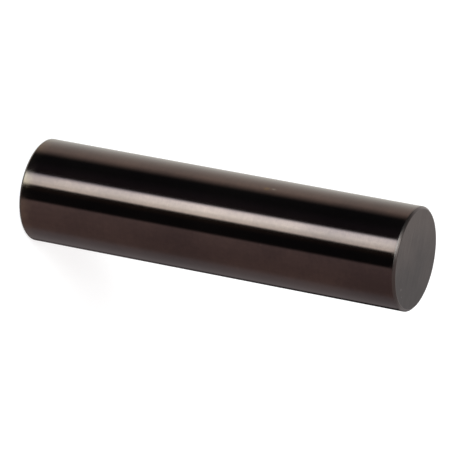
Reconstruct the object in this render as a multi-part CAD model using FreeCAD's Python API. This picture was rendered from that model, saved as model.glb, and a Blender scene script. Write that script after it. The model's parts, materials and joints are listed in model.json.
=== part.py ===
import FreeCAD, Part
import math
import os

# Pin gauge: one solid pin of hardened steel, ground to size all the way along its barrel, with flat ends
# square to its axis and a broken edge round each end. It stands on one end. The origin is the centre of
# the lower end face, and +Z runs up the axis of the pin. Every length is in millimetres.

# Driving dimensions
gauge_diameter = 12.70  # the size that the pin checks, 1/2 inch
gauge_length = 50.00  # over both end faces
edge_break = 0.25  # the chamfer at each end, the same along the axis as along the radius
corner_blend = 0.20  # radius where the chamfer runs out into the end face and into the barrel

gauge_radius = gauge_diameter / 2
chamfer_turn = math.radians(45)  # between the chamfer and the end face, and between it and the barrel
largest_blend_share = 0.4  # of the edge break, so that the two blends on one chamfer stay apart


def section_point(radius, height):
    """A point of the half section, by its distance from the axis and its height above the lower face."""
    return FreeCAD.Vector(radius, 0, height)


def point_on_way(start, end, distance):
    """The point that lies this distance from start, on the way to end."""
    way = end - start
    return start + way * (distance / way.Length)


def corner_blend_arc(before, corner, after):
    """The arc that rounds one corner of the section, and the two points where it runs out."""
    reach = min(corner_blend * math.tan(chamfer_turn / 2), edge_break * largest_blend_share)
    radius = reach / math.tan(chamfer_turn / 2)
    depth_below_corner = radius / math.cos(chamfer_turn / 2) - radius
    start = point_on_way(corner, before, reach)
    end = point_on_way(corner, after, reach)
    middle = point_on_way(corner, (start + end) * 0.5, depth_below_corner)
    return Part.Arc(start, middle, end), start, end


def half_section():
    """One side of the pin, cut through its axis: a flat end, a chamfer, the barrel and the same again."""
    face_radius = gauge_radius - edge_break
    axis_foot = section_point(0, 0)
    axis_top = section_point(0, gauge_length)
    outline = [
        axis_foot,
        section_point(face_radius, 0),
        section_point(gauge_radius, edge_break),
        section_point(gauge_radius, gauge_length - edge_break),
        section_point(face_radius, gauge_length),
        axis_top,
    ]
    edges = []
    run_start = axis_foot
    for before, corner, after in zip(outline, outline[1:], outline[2:]):
        arc, arc_start, arc_end = corner_blend_arc(before, corner, after)
        edges.append(Part.makeLine(run_start, arc_start))
        edges.append(arc.toShape())
        run_start = arc_end
    edges.append(Part.makeLine(run_start, axis_top))
    edges.append(Part.makeLine(axis_top, axis_foot))
    return Part.Face(Part.Wire(edges))


def gauge_pin():
    """The whole pin, its half section turned once round the Z axis."""
    return half_section().revolve(FreeCAD.Vector(0, 0, 0), FreeCAD.Vector(0, 0, 1), 360)


os.makedirs("parts", exist_ok=True)
pin = gauge_pin()
pin.exportStep("parts/gauge_pin.step")
print("gauge_pin: valid", pin.isValid(), "solids", len(pin.Solids), "volume", round(pin.Volume, 2), "mm3")
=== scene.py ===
import json
import math

import bmesh
import bpy
from mathutils import Matrix, Vector


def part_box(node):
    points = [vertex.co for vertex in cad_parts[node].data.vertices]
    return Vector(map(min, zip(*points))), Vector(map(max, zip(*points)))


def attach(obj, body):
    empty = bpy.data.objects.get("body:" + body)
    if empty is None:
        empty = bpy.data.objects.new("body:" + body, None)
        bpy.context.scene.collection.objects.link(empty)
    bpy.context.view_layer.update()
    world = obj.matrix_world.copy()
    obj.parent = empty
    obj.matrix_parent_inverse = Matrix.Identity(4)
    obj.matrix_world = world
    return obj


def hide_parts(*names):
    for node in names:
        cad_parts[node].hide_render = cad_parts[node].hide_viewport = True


# A pin gauge of black oxide steel. It stands on one end, and the camera is rolled so that the pin lies
# across the frame. Lengths are in metres and angles in degrees.

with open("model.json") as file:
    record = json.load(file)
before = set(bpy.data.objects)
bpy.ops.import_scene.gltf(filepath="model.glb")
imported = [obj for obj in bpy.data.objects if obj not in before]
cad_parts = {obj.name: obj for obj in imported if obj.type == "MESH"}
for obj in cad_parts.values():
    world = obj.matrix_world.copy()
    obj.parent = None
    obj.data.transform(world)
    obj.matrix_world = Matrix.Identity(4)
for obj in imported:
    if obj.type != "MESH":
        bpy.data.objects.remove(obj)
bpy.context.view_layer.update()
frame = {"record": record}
millimetres = 1000  # in a metre
mounts = {mount["name"]: mount for mount in frame["record"]["mounts"]}
pinRadius = mounts["gauging_diameter"]["dims"]["r_mm"] / millimetres
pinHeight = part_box("gauge_pin")[1].z
pinMiddle = Vector((0, 0, pinHeight / 2))
bpy.context.scene.view_settings.view_transform = "Standard"
acrossInMm = round(2 * pinRadius * millimetres, 2)
highInMm = round(pinHeight * millimetres, 2)
print("frame loaded: pin", acrossInMm, "mm across and", highInMm, "mm high")


def fillInputs(tree, node, inputs):
    for name, value in inputs.items():
        if isinstance(value, bpy.types.NodeSocket):
            tree.links.new(value, node.inputs[name])
        else:
            node.inputs[name].default_value = value


def addNode(tree, kind, inputs=None, **settings):
    node = tree.nodes.new(kind)
    for name, value in settings.items():
        setattr(node, name, value)
    fillInputs(tree, node, inputs or {})
    return node


def mathNode(tree, operation, *values):
    return addNode(tree, "ShaderNodeMath", dict(enumerate(values)), operation=operation).outputs[0]


def vectorNode(tree, operation, *values):
    return addNode(tree, "ShaderNodeVectorMath", dict(enumerate(values)), operation=operation).outputs[0]


def scaleVector(tree, vector, scale):
    return addNode(tree, "ShaderNodeVectorMath", {0: vector, "Scale": scale}, operation="SCALE").outputs[0]


def rampNode(tree, value, start, end, low=0.0, high=1.0, smooth=True):
    # low at start and high at end; start may be the larger of the two
    inputs = {"Value": value, "From Min": start, "From Max": end, "To Min": low, "To Max": high}
    easing = "SMOOTHSTEP" if smooth else "LINEAR"
    return addNode(tree, "ShaderNodeMapRange", inputs, interpolation_type=easing).outputs["Result"]


def mixColours(tree, factor, first, second):
    inputs = {"Factor": factor, 6: first, 7: second}
    return addNode(tree, "ShaderNodeMix", inputs, data_type="RGBA").outputs[2]


def startGroup(name, inputs, outputs):
    group = bpy.data.node_groups.new(name, "ShaderNodeTree")
    for label, (kind, value) in inputs.items():
        socket = group.interface.new_socket(label, in_out="INPUT", socket_type="NodeSocket" + kind)
        if value is not None:
            socket.default_value = value
    for label, kind in outputs.items():
        group.interface.new_socket(label, in_out="OUTPUT", socket_type="NodeSocket" + kind)
    source = group.nodes.new("NodeGroupInput").outputs
    sink = group.nodes.new("NodeGroupOutput").inputs
    return group, source, sink


def placeGroup(tree, group, inputs):
    node = tree.nodes.new("ShaderNodeGroup")
    node.node_tree = group
    fillInputs(tree, node, inputs)
    return node.outputs


cameraView = {
    "elevation": 23.73,  # above the floor
    "slope": 10.676,  # how far the pin's axis drops towards the right of the frame
    "distance": 0.4787,
    "lens": 317.3,  # mm, as is the sensor
    "sensor": 36,
    "pinRight": 0.00007,  # the middle of the pin, off the middle of the frame
    "pinUp": 0.00017,
}


def placeCamera(view):
    elevation = math.radians(view["elevation"])
    slope = math.radians(view["slope"])
    back = Vector((0, -math.cos(elevation), math.sin(elevation)))
    levelRight = Vector((1, 0, 0))
    levelUp = back.cross(levelRight)
    right = levelUp * math.cos(slope) - levelRight * math.sin(slope)
    up = -levelUp * math.sin(slope) - levelRight * math.cos(slope)
    camera = bpy.data.objects.new("camera", bpy.data.cameras.new("camera"))
    bpy.context.scene.collection.objects.link(camera)
    camera.data.lens = view["lens"]
    camera.data.sensor_width = view["sensor"]
    place = pinMiddle + back * view["distance"] - right * view["pinRight"] - up * view["pinUp"]
    turn = Matrix((right, up, back)).transposed()
    camera.matrix_world = Matrix.Translation(place) @ turn.to_4x4()
    bpy.context.scene.camera = camera


placeCamera(cameraView)
print("camera placed")

# What stands round the pin, in bands by compass direction: 0 is where the camera stands, and 90 is
# towards the top of the frame. Each band has its colour at its first and at its last direction. Soft is
# how many degrees an edge takes, Lean how far it moves round for each degree up, and bottom and top are
# elevations.
studioRing = {
    "stripLight": {
        "from": 6, "to": 32.7, "fromSoft": 4.3, "toSoft": 4, "fromLean": -0.15, "toLean": 0.15,
        "bottom": -100, "top": 15, "first": (8.1, 9.5, 9.0), "last": (2.1, 2.6, 3.3),
    },
    "stripCore": {
        "from": 13, "to": 30.3, "fromSoft": 13, "toSoft": 8, "toLean": 0.7,
        "bottom": -26.5, "top": -20, "first": (5.5, 7.2, 7.0), "last": (10.3, 12.7, 12.9),
    },
    "stripTop": {
        "from": 8, "to": 36, "fromSoft": 8, "toSoft": 10, "toLean": 0.1,
        "bottom": -10, "top": 58, "first": (6.3, 6.8, 6.8), "last": (7.3, 8.2, 8.4),
    },
    "stripSpill": {
        "from": -5, "to": 53, "fromSoft": 9, "toSoft": 29,
        "bottom": -100, "top": 15, "first": (0.06, 0.04, 0.02), "last": (0.06, 0.05, 0.075),
    },
    "paleWall": {
        "from": 93.3, "to": 142, "fromSoft": 25, "toSoft": 8, "fromLean": 0.85,
        "bottom": -100, "top": 8, "first": (1.62, 1.48, 1.33), "last": (1.24, 1.20, 1.12),
    },
    "wallCorner": {
        "from": 142, "to": 179, "fromSoft": 8, "toSoft": 2,
        "bottom": -100, "top": 8, "first": (1.16, 1.12, 1.04), "last": (0.66, 0.64, 0.60),
    },
    "endCard": {
        "from": 118, "to": 228, "fromSoft": 14, "toSoft": 20,
        "bottom": 2, "top": 75, "first": (1.35, 1.29, 1.27), "last": (0.9, 0.88, 0.89),
    },
    "farGap": {
        "from": -180, "to": -150, "fromSoft": 4, "toSoft": 12,
        "bottom": -100, "top": -23.5, "first": (0.15, 0.13, 0.13), "last": (0.15, 0.13, 0.13),
    },
    "farBench": {
        "from": -150, "to": -102, "fromSoft": 9, "toSoft": 20,
        "bottom": -100, "top": 100, "first": (0.33, 0.29, 0.29), "last": (0.83, 0.77, 0.80),
    },
    "nearBench": {
        "from": -102, "to": -29.2, "fromSoft": 20, "toSoft": 6,
        "bottom": -100, "top": 100, "first": (0.70, 0.56, 0.53), "last": (0.98, 0.86, 0.86),
    },
    "frontGap": {
        "from": -35, "to": 95, "fromSoft": 10, "toSoft": 10,
        "bottom": -100, "top": 100, "first": (0.045, 0.050, 0.055), "last": (0.055, 0.070, 0.080),
    },
}
bandRimSoft = 8  # degrees over which a band fades out at its bottom and its top


def compassBandGroup():
    group, source, sink = startGroup("compassBand", {
        "Compass": ("Float", 0), "Elevation": ("Float", 0),
        "From": ("Float", 0), "Width": ("Float", 30), "From Soft": ("Float", 5), "To Soft": ("Float", 5),
        "From Lean": ("Float", 0), "To Lean": ("Float", 0), "Level": ("Float", -24),
        "Bottom": ("Float", -100), "Top": ("Float", 100), "Rim Soft": ("Float", 5),
        "First Colour": ("Vector", (1, 1, 1)), "Last Colour": ("Vector", (1, 1, 1)),
    }, {"Light": "Vector"})

    def softEdge(value, edge, soft, operation):
        half = mathNode(group, "MULTIPLY", soft, 0.5)
        start = mathNode(group, "SUBTRACT" if operation == "RISE" else "ADD", edge, half)
        end = mathNode(group, "ADD" if operation == "RISE" else "SUBTRACT", edge, half)
        return rampNode(group, value, start, end)

    # counted from a quarter turn before the band to three quarters after it
    pastStart = mathNode(group, "SUBTRACT", source["Compass"], source["From"])
    along = mathNode(group, "WRAP", pastStart, 270, -90)
    # an edge that leans moves round the compass with the elevation
    above = mathNode(group, "SUBTRACT", source["Elevation"], source["Level"])
    firstEdge = mathNode(group, "MULTIPLY", above, source["From Lean"])
    lastEdge = mathNode(group, "MULTIPLY_ADD", above, source["To Lean"], source["Width"])
    mask = softEdge(along, firstEdge, source["From Soft"], "RISE")
    mask = mathNode(group, "MULTIPLY", mask, softEdge(along, lastEdge, source["To Soft"], "FALL"))
    for edge, operation in (("Bottom", "RISE"), ("Top", "FALL")):
        rim = softEdge(source["Elevation"], source[edge], source["Rim Soft"], operation)
        mask = mathNode(group, "MULTIPLY", mask, rim)
    share = rampNode(group, along, 0.0, source["Width"], smooth=False)
    change = vectorNode(group, "SUBTRACT", source["Last Colour"], source["First Colour"])
    colour = vectorNode(group, "ADD", source["First Colour"], scaleVector(group, change, share))
    group.links.new(scaleVector(group, colour, mask), sink["Light"])
    return group


def buildWorld():
    world = bpy.data.worlds.new("studio")
    bpy.context.scene.world = world
    world.use_nodes = True
    tree = world.node_tree
    tree.nodes.clear()
    bandGroup = compassBandGroup()
    direction = addNode(tree, "ShaderNodeTexCoord").outputs["Generated"]
    along = addNode(tree, "ShaderNodeSeparateXYZ", {"Vector": direction}).outputs
    minusX = mathNode(tree, "MULTIPLY", along["X"], -1)
    minusY = mathNode(tree, "MULTIPLY", along["Y"], -1)
    compass = mathNode(tree, "DEGREES", mathNode(tree, "ARCTAN2", minusX, minusY))
    elevation = mathNode(tree, "DEGREES", mathNode(tree, "ARCSINE", along["Z"]))
    light = None
    for band in studioRing.values():
        shine = placeGroup(tree, bandGroup, {
            "Compass": compass, "Elevation": elevation,
            "From": band["from"], "Width": band["to"] - band["from"],
            "From Soft": band["fromSoft"], "To Soft": band["toSoft"],
            "From Lean": band.get("fromLean", 0), "To Lean": band.get("toLean", 0),
            "Bottom": band["bottom"], "Top": band["top"], "Rim Soft": bandRimSoft,
            "First Colour": band["first"], "Last Colour": band["last"],
        })["Light"]
        light = vectorNode(tree, "ADD", shine, light) if light else shine
    ring = addNode(tree, "ShaderNodeBackground", {"Color": light})
    white = addNode(tree, "ShaderNodeBackground", {"Color": (1, 1, 1, 1)})
    seen = addNode(tree, "ShaderNodeLightPath").outputs["Is Camera Ray"]
    mix = addNode(tree, "ShaderNodeMixShader", {0: seen, 1: ring.outputs[0], 2: white.outputs[0]})
    addNode(tree, "ShaderNodeOutputWorld", {"Surface": mix.outputs[0]})


buildWorld()
print("studio ring built:", ", ".join(studioRing))

overheadLight = {
    "compass": 33, "elevation": 61, "distance": 0.40, "width": 0.17, "depth": 0.12,
    "radiance": 9.0, "colour": (0.96, 1.0, 1.0),
}


def compassPoint(compass, elevation, distance):
    rise = math.radians(elevation)
    turn = math.radians(compass)
    way = Vector((-math.sin(turn) * math.cos(rise), -math.cos(turn) * math.cos(rise), math.sin(rise)))
    return way * distance


def placeSoftbox(name, light):
    lamp = bpy.data.lights.new(name, "AREA")
    lamp.shape = "RECTANGLE"
    lamp.size = light["width"]
    lamp.size_y = light["depth"]
    lamp.color = light["colour"]
    lamp.energy = light["radiance"] * math.pi * light["width"] * light["depth"]
    softbox = bpy.data.objects.new(name, lamp)
    bpy.context.scene.collection.objects.link(softbox)
    away = compassPoint(light["compass"], light["elevation"], light["distance"])
    softbox.location = pinMiddle + away
    softbox.rotation_mode = "QUATERNION"
    softbox.rotation_quaternion = away.to_track_quat("Z", "Y")
    softbox.visible_camera = False
    return softbox


placeSoftbox("overheadLight", overheadLight)
print("overhead softbox placed")

# The floor shows white to the camera, with the soft shadow of the pin.
floorLook = {"size": 3.0, "colour": (0.8, 0.8, 0.8), "shadowShare": 0.45, "lift": 0.71}


def buildFloor(look):
    mesh = bpy.data.meshes.new("floor")
    half = look["size"] / 2
    corners = [(-half, -half, 0), (half, -half, 0), (half, half, 0), (-half, half, 0)]
    mesh.from_pydata(corners, [], [(0, 1, 2, 3)])
    floor = bpy.data.objects.new("floor", mesh)
    bpy.context.scene.collection.objects.link(floor)
    floor.visible_glossy = False  # the barrel mirrors the studio ring, not the floor
    material = bpy.data.materials.new("floorWhite")
    material.use_nodes = True
    tree = material.node_tree
    tree.nodes.clear()
    glowLevel = look["lift"] / (1 - look["shadowShare"])
    lit = addNode(tree, "ShaderNodeBsdfDiffuse", {"Color": (*look["colour"], 1)}).outputs[0]
    glow = addNode(tree, "ShaderNodeEmission", {"Color": (1, 1, 1, 1), "Strength": glowLevel}).outputs[0]
    soft = addNode(tree, "ShaderNodeMixShader", {0: look["shadowShare"], 1: glow, 2: lit}).outputs[0]
    seen = addNode(tree, "ShaderNodeLightPath").outputs["Is Camera Ray"]
    top = addNode(tree, "ShaderNodeMixShader", {0: seen, 1: lit, 2: soft}).outputs[0]
    below = addNode(tree, "ShaderNodeNewGeometry").outputs["Backfacing"]
    clear = addNode(tree, "ShaderNodeBsdfTransparent").outputs[0]
    both = addNode(tree, "ShaderNodeMixShader", {0: below, 1: top, 2: clear}).outputs[0]
    addNode(tree, "ShaderNodeOutputMaterial", {"Surface": both})
    mesh.materials.append(material)


buildFloor(floorLook)
print("floor laid")

# The pin is turned from its half section.
pinShape = {
    "edgeBreak": 0.00025,  # chamfer at each end
    "chamferTurn": 45,  # from the end face to the chamfer, and from the chamfer to the barrel
    "cornerBlend": 0.00020,
    "stepsAround": 256,
    "blendSteps": 4,
    "barrelRings": 24,
    "faceRings": 8,
}


def lowerEnd(shape):
    # rings from the middle of the lower face to the barrel: radius, height, tilt of the normal, and zone
    blend = shape["cornerBlend"]
    chamferTurn = shape["chamferTurn"]
    reach = blend * math.tan(math.radians(chamferTurn / 2))
    faceEdge = pinRadius - shape["edgeBreak"] - reach
    rings = []
    for step in range(1, shape["faceRings"] + 1):
        rings.append((faceEdge * step / shape["faceRings"], 0, -90, "endFace"))
    faceBlend = (faceEdge, blend)
    barrelBlend = (pinRadius - blend, shape["edgeBreak"] + reach)
    for (across, high), start in ((faceBlend, -90), (barrelBlend, -90 + chamferTurn)):
        for step in range(shape["blendSteps"] + 1):
            tilt = start + chamferTurn * step / shape["blendSteps"]
            if tilt == -90:
                continue
            turn = math.radians(tilt)
            rings.append((across + blend * math.cos(turn), high + blend * math.sin(turn), tilt, "edge"))
    return rings


def wholeSection(shape):
    lower = lowerEnd(shape)
    upper = [(radius, pinHeight - height, -tilt, zone) for radius, height, tilt, zone in reversed(lower)]
    start = lower[-1][1]
    end = upper[0][1]
    barrel = []
    for step in range(1, shape["barrelRings"]):
        barrel.append((pinRadius, start + (end - start) * step / shape["barrelRings"], 0, "barrel"))
    return lower + barrel + upper


def zoneBetween(first, second):
    # between an edge ring and a barrel ring lies barrel, and beside an end face ring lies edge
    if first == second == "endFace":
        return "endFace"
    if "endFace" in (first, second) or first == second == "edge":
        return "edge"
    return "barrel"


def buildPin(shape):
    rings = wholeSection(shape)
    count = shape["stepsAround"]
    zones = ["barrel", "edge", "endFace"]
    work = bmesh.new()
    normals = []
    loops = []
    for radius, height, tilt, zone in rings:
        level = math.cos(math.radians(tilt))
        loop = []
        for step in range(count):
            turn = 2 * math.pi * step / count
            loop.append(work.verts.new((radius * math.cos(turn), radius * math.sin(turn), height)))
            normals.append((level * math.cos(turn), level * math.sin(turn), math.sin(math.radians(tilt))))
        loops.append(loop)
    footMiddle = work.verts.new((0, 0, 0))
    topMiddle = work.verts.new((0, 0, pinHeight))
    normals += [(0, 0, -1), (0, 0, 1)]
    for index in range(len(rings) - 1):
        zone = zoneBetween(rings[index][3], rings[index + 1][3])
        for step in range(count):
            after = (step + 1) % count
            face = work.faces.new((
                loops[index][step], loops[index][after], loops[index + 1][after], loops[index + 1][step],
            ))
            face.material_index = zones.index(zone)
    for middle, loop, way in ((footMiddle, loops[0], -1), (topMiddle, loops[-1], 1)):
        for step in range(count):
            face = work.faces.new((middle, loop[step], loop[(step + way) % count]))
            face.material_index = zones.index("endFace")
    for face in work.faces:
        face.smooth = True
    mesh = bpy.data.meshes.new("gaugePin")
    work.to_mesh(mesh)
    work.free()
    mesh.normals_split_custom_set_from_vertices(normals)
    pin = bpy.data.objects.new("gaugePin", mesh)
    bpy.context.scene.collection.objects.link(pin)
    return pin


pin = buildPin(pinShape)
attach(pin, "root")
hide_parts("gauge_pin")
print("pin turned:", len(pin.data.polygons), "faces")


def oxideToneAndShadeGroup():
    # clouds where the oxide is browner or blacker, from patches as wide as the pin down to a fine grain, plus
    # a slope of painted shade that darkens the tone steadily in one direction
    group, source, sink = startGroup("oxideToneAndShade", {
        "Vector": ("Vector", None), "Patch": ("Vector", (70, 70, 45)), "Shift": ("Vector", (0, 0, 0)),
        "Breakup": ("Float", 0.6), "Contrast": ("Float", 4.0),
        "Grain": ("Vector", (2400, 2400, 2200)), "Grain Share": ("Float", 0.5),
        "Painted Shade Slope": ("Vector", (0, 0, 0)),
        "Thin Colour": ("Color", (0.06, 0.04, 0.036, 1)),
        "Thick Colour": ("Color", (0.045, 0.034, 0.032, 1)),
    }, {"Color": "Color"})
    place = vectorNode(group, "MULTIPLY", source["Vector"], source["Patch"])
    place = vectorNode(group, "ADD", place, source["Shift"])
    clouds = addNode(group, "ShaderNodeTexNoise", {
        "Vector": place, "Scale": 1.0, "Detail": 5.0, "Roughness": source["Breakup"],
    })
    small = vectorNode(group, "MULTIPLY", source["Vector"], source["Grain"])
    grain = addNode(group, "ShaderNodeTexNoise", {
        "Vector": small, "Scale": 1.0, "Detail": 1.0, "Roughness": 0.5,
    })
    off = mathNode(group, "SUBTRACT", clouds.outputs["Fac"], 0.5)
    thickness = mathNode(group, "MULTIPLY_ADD", off, source["Contrast"], 0.5)
    off = mathNode(group, "SUBTRACT", grain.outputs["Fac"], 0.5)
    thickness = mathNode(group, "MULTIPLY_ADD", off, source["Grain Share"], thickness)
    # painted shade: a slope across the object makes the tone read thicker, so darker, steadily in one
    # direction
    along = {0: source["Vector"], 1: source["Painted Shade Slope"]}
    paintedShadeSlope = addNode(group, "ShaderNodeVectorMath", along, operation="DOT_PRODUCT")
    thickness = mathNode(group, "ADD", thickness, paintedShadeSlope.outputs["Value"])
    thickness = addNode(group, "ShaderNodeClamp", {"Value": thickness}).outputs[0]
    colour = mixColours(group, thickness, source["Thin Colour"], source["Thick Colour"])
    group.links.new(colour, sink["Color"])
    return group


def toolLinesGroup():
    # fine lines left by the wheel: Lines Per Metre says how close they lie along each axis
    group, source, sink = startGroup("toolLines", {
        "Vector": ("Vector", None), "Lines Per Metre": ("Vector", (200, 200, 9000)),
    }, {"Height": "Float"})
    place = vectorNode(group, "MULTIPLY", source["Vector"], source["Lines Per Metre"])
    lines = addNode(group, "ShaderNodeTexNoise", {
        "Vector": place, "Scale": 1.0, "Detail": 2.0, "Roughness": 0.7,
    })
    group.links.new(rampNode(group, lines.outputs["Fac"], 0.25, 0.75, smooth=False), sink["Height"])
    return group


def endRimGroup():
    # how near a point lies to the outer corner of the lower and of the upper end, broken up by a little noise
    group, source, sink = startGroup("endRim", {
        "Vector": ("Vector", None), "Radius": ("Float", pinRadius), "Length": ("Float", pinHeight),
        "Side Reach": ("Float", 0.0005), "Lower Reach": ("Float", 0.002), "Upper Reach": ("Float", 0.001),
        "Breaks": ("Float", 0.5),
    }, {"Lower": "Float", "Upper": "Float"})
    place = addNode(group, "ShaderNodeSeparateXYZ", {"Vector": source["Vector"]}).outputs
    flat = addNode(group, "ShaderNodeCombineXYZ", {"X": place["X"], "Y": place["Y"]}).outputs[0]
    across = addNode(group, "ShaderNodeVectorMath", {0: flat}, operation="LENGTH").outputs["Value"]
    fromSide = mathNode(group, "SUBTRACT", source["Radius"], across)
    sideShare = mathNode(group, "DIVIDE", fromSide, source["Side Reach"])
    raggedPerMetre = 1400.0
    noise = addNode(group, "ShaderNodeTexNoise", {
        "Vector": source["Vector"], "Scale": raggedPerMetre, "Detail": 3.0,
    })
    ragged = rampNode(group, noise.outputs["Fac"], 0.3, 0.7, smooth=False)
    ragged = mathNode(group, "MULTIPLY", ragged, source["Breaks"])
    fromTop = mathNode(group, "SUBTRACT", source["Length"], place["Z"])
    for end, fromEnd in (("Lower", place["Z"]), ("Upper", fromTop)):
        endShare = mathNode(group, "DIVIDE", fromEnd, source[end + " Reach"])
        share = mathNode(group, "ADD", mathNode(group, "MAXIMUM", sideShare, endShare), ragged)
        group.links.new(rampNode(group, share, 1.0, 0.0), sink[end])
    return group


def handlingMarksGroup():
    # short light scratches in a few cells of a stretched grid
    group, source, sink = startGroup("handlingMarks", {
        "Vector": ("Vector", None), "Turn": ("Vector", (0, 0, 0)),
        "Stretch": ("Vector", (900, 4000, 900)),
        "Share": ("Float", 0.1), "Width": ("Float", 0.12),
    }, {"Mask": "Float"})
    turn = {"Vector": source["Vector"], "Rotation": source["Turn"]}
    turned = addNode(group, "ShaderNodeVectorRotate", turn, rotation_type="EULER_XYZ").outputs[0]
    place = vectorNode(group, "MULTIPLY", turned, source["Stretch"])
    cells = addNode(group, "ShaderNodeTexVoronoi", {"Vector": place, "Scale": 1.0, "Randomness": 1.0})
    picked = addNode(group, "ShaderNodeSeparateColor", {"Color": cells.outputs["Color"]}).outputs[0]
    chosen = mathNode(group, "LESS_THAN", picked, source["Share"])
    line = rampNode(group, cells.outputs["Distance"], source["Width"], 0.0)
    group.links.new(mathNode(group, "MULTIPLY", line, chosen), sink["Mask"])
    return group


def speckGroup():
    # one small ragged spot, at Place and as large as Size along each axis
    group, source, sink = startGroup("speck", {
        "Vector": ("Vector", None), "Place": ("Vector", (0, 0, 0)),
        "Size": ("Vector", (0.001, 0.001, 0.001)), "Ragged": ("Float", 0.5),
    }, {"Mask": "Float"})
    away = vectorNode(group, "SUBTRACT", source["Vector"], source["Place"])
    away = vectorNode(group, "DIVIDE", away, source["Size"])
    raggedPerMetre = 2500.0
    noise = addNode(group, "ShaderNodeTexNoise", {
        "Vector": source["Vector"], "Scale": raggedPerMetre, "Detail": 2.0,
    })
    wobble = mathNode(group, "MULTIPLY", noise.outputs["Fac"], source["Ragged"])
    distance = addNode(group, "ShaderNodeVectorMath", {0: away}, operation="LENGTH").outputs["Value"]
    spot = rampNode(group, mathNode(group, "ADD", distance, wobble), 1.0, 0.2)
    group.links.new(spot, sink["Mask"])
    return group


oxideToneAndShade = oxideToneAndShadeGroup()
toolLines = toolLinesGroup()
endRim = endRimGroup()
handlingMarks = handlingMarksGroup()
speck = speckGroup()
sharedEffects = (oxideToneAndShade, toolLines, endRim, handlingMarks, speck)
print("shared effects built:", ", ".join(group.name for group in sharedEffects))

# Colours are the metal's own, where the oxide is thin or thick; on the end face a slope from the thin to the
# thick colour across X is painted shade. Reaches and sizes are lengths; patch, grain, lines, streaks and
# marks say how many there are to the metre along each axis, and the shade slope how far towards thick per
# metre.
barrelLook = {
    "thin": (0.0640, 0.0445, 0.0395), "thick": (0.0400, 0.0285, 0.0272),
    "patch": (70, 70, 60), "shift": (20.15, 26.38, 8.81), "breakup": 0.62, "contrast": 3.2,
    "grain": (2400, 2400, 2200), "grainShare": 0.55, "paintedShadeSlope": (0, 0, 0),
    "sideReach": 0.0007, "lowerReach": 0.0026, "upperReach": 0.0012, "rimBreaks": 0.35,
    "lowerRim": (0.092, 0.069, 0.054), "upperRim": (0.044, 0.031, 0.029), "rimRoughness": 0.12,
    "lines": (160, 160, 9000), "lineColour": 0.05,
    "streaks": (3200, 3200, 70), "streakColour": 0.03,
    "roughness": 0.10, "roughnessSpread": 0.03,
    "bump": 0.05, "bumpDistance": 0.000002,
    "marks": (400, 400, 5000), "marksTurn": (0.3, 0.2, 0), "marksShare": 0.02,
    "markColour": (0.11, 0.085, 0.07),
    "specks": [
        {
            "place": (-0.00507, -0.00382, 0.0320), "size": (0.0003, 0.0003, 0.0006),
            "colour": (0.12, 0.11, 0.10),
        },
        {
            "place": (-0.00500, -0.00391, 0.0312), "size": (0.0006, 0.0006, 0.0009),
            "colour": (0.085, 0.058, 0.034),
        },
    ],
}
edgeLook = dict(
    barrelLook, thin=(0.068, 0.057, 0.053), thick=(0.056, 0.047, 0.044), lowerRim=(0.080, 0.066, 0.056),
    upperRim=(0.062, 0.052, 0.049), roughness=0.34, roughnessSpread=0.06, rimRoughness=0.0,
    lines=(260, 260, 12000), marksShare=0.05, specks=[],
)
# the end face carries painted shade: its tone slope runs across X, lighter on the -X side and darker on the
# +X side
endLook = dict(
    barrelLook, thin=(0.070, 0.057, 0.052), thick=(0.036, 0.0305, 0.0295), patch=(120, 120, 120),
    grain=(1500, 1500, 1500), grainShare=0.3, paintedShadeSlope=(120, 0, 0), contrast=2.5,
    sideReach=0.00035, lowerRim=(0.066, 0.053, 0.047), upperRim=(0.058, 0.048, 0.044), rimRoughness=0.0,
    lines=(260, 7000, 260), lineColour=0.08, streaks=(90, 1500, 90), streakColour=0.05,
    roughness=0.5, roughnessSpread=0.08,
    marks=(700, 4000, 700), marksTurn=(0, 0, 0.9), marksShare=0.06,
    specks=[
        {
            "place": (0.00385, -0.00297, pinHeight), "size": (0.0003, 0.0004, 0.0003),
            "colour": (0.11, 0.09, 0.095),
        },
        {
            "place": (0.00470, -0.00240, pinHeight), "size": (0.0002, 0.0003, 0.0003),
            "colour": (0.09, 0.075, 0.08),
        },
    ],
)


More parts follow.
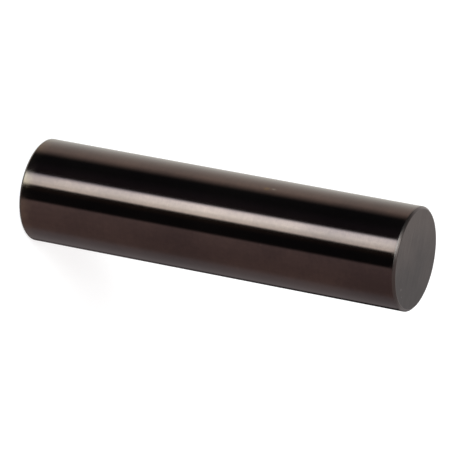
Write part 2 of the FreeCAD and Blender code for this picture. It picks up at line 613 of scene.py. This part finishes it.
def blackOxide(name, look):
    material = bpy.data.materials.new(name)
    material.use_nodes = True
    tree = material.node_tree
    shader = tree.nodes["Principled BSDF"]
    shader.inputs["Metallic"].default_value = 1
    place = addNode(tree, "ShaderNodeTexCoord").outputs["Object"]
    # the tone slope input is painted shade; it is zero on the barrel and on the edge
    tone = placeGroup(tree, oxideToneAndShade, {
        "Vector": place, "Patch": look["patch"], "Shift": look["shift"], "Breakup": look["breakup"],
        "Contrast": look["contrast"], "Grain": look["grain"], "Grain Share": look["grainShare"],
        "Painted Shade Slope": look["paintedShadeSlope"], "Thin Colour": (*look["thin"], 1), "Thick Colour": (*look["thick"], 1),
    })
    lines = placeGroup(tree, toolLines, {"Vector": place, "Lines Per Metre": look["lines"]})
    streaks = placeGroup(tree, toolLines, {"Vector": place, "Lines Per Metre": look["streaks"]})
    rim = placeGroup(tree, endRim, {
        "Vector": place, "Radius": pinRadius, "Length": pinHeight, "Side Reach": look["sideReach"],
        "Lower Reach": look["lowerReach"], "Upper Reach": look["upperReach"], "Breaks": look["rimBreaks"],
    })
    marks = placeGroup(tree, handlingMarks, {
        "Vector": place, "Turn": look["marksTurn"], "Stretch": look["marks"], "Share": look["marksShare"],
    })["Mask"]
    lineSpread = look["lineColour"]
    shade = rampNode(tree, lines["Height"], 0.0, 1.0, 1 + lineSpread, 1 - lineSpread, smooth=False)
    streakSpread = look["streakColour"]
    streak = rampNode(tree, streaks["Height"], 0.0, 1.0, 1 + streakSpread, 1 - streakSpread, smooth=False)
    colour = mixColours(tree, rim["Lower"], tone["Color"], (*look["lowerRim"], 1))
    colour = mixColours(tree, rim["Upper"], colour, (*look["upperRim"], 1))
    colour = mixColours(tree, marks, colour, (*look["markColour"], 1))
    for spot in look["specks"]:
        spotPlace = {"Vector": place, "Place": spot["place"], "Size": spot["size"]}
        mask = placeGroup(tree, speck, spotPlace)["Mask"]
        colour = mixColours(tree, mask, colour, (*spot["colour"], 1))
    colour = scaleVector(tree, colour, mathNode(tree, "MULTIPLY", shade, streak))
    tree.links.new(colour, shader.inputs["Base Color"])
    low = look["roughness"] - look["roughnessSpread"] / 2
    high = look["roughness"] + look["roughnessSpread"] / 2
    rough = rampNode(tree, lines["Height"], 0.0, 1.0, low, high, smooth=False)
    rims = mathNode(tree, "ADD", rim["Lower"], rim["Upper"])
    rough = mathNode(tree, "MULTIPLY_ADD", rims, look["rimRoughness"], rough)
    tree.links.new(rough, shader.inputs["Roughness"])
    height = mathNode(tree, "ADD", lines["Height"], streaks["Height"])
    height = mathNode(tree, "SUBTRACT", height, marks)
    bump = addNode(tree, "ShaderNodeBump", {
        "Strength": look["bump"], "Distance": look["bumpDistance"], "Height": height,
    })
    tree.links.new(bump.outputs["Normal"], shader.inputs["Normal"])
    return material


pin.data.materials.append(blackOxide("groundBarrel", barrelLook))
pin.data.materials.append(blackOxide("brokenEdge", edgeLook))
pin.data.materials.append(blackOxide("groundEnd", endLook))
print("finishes laid:", ", ".join(material.name for material in pin.data.materials))
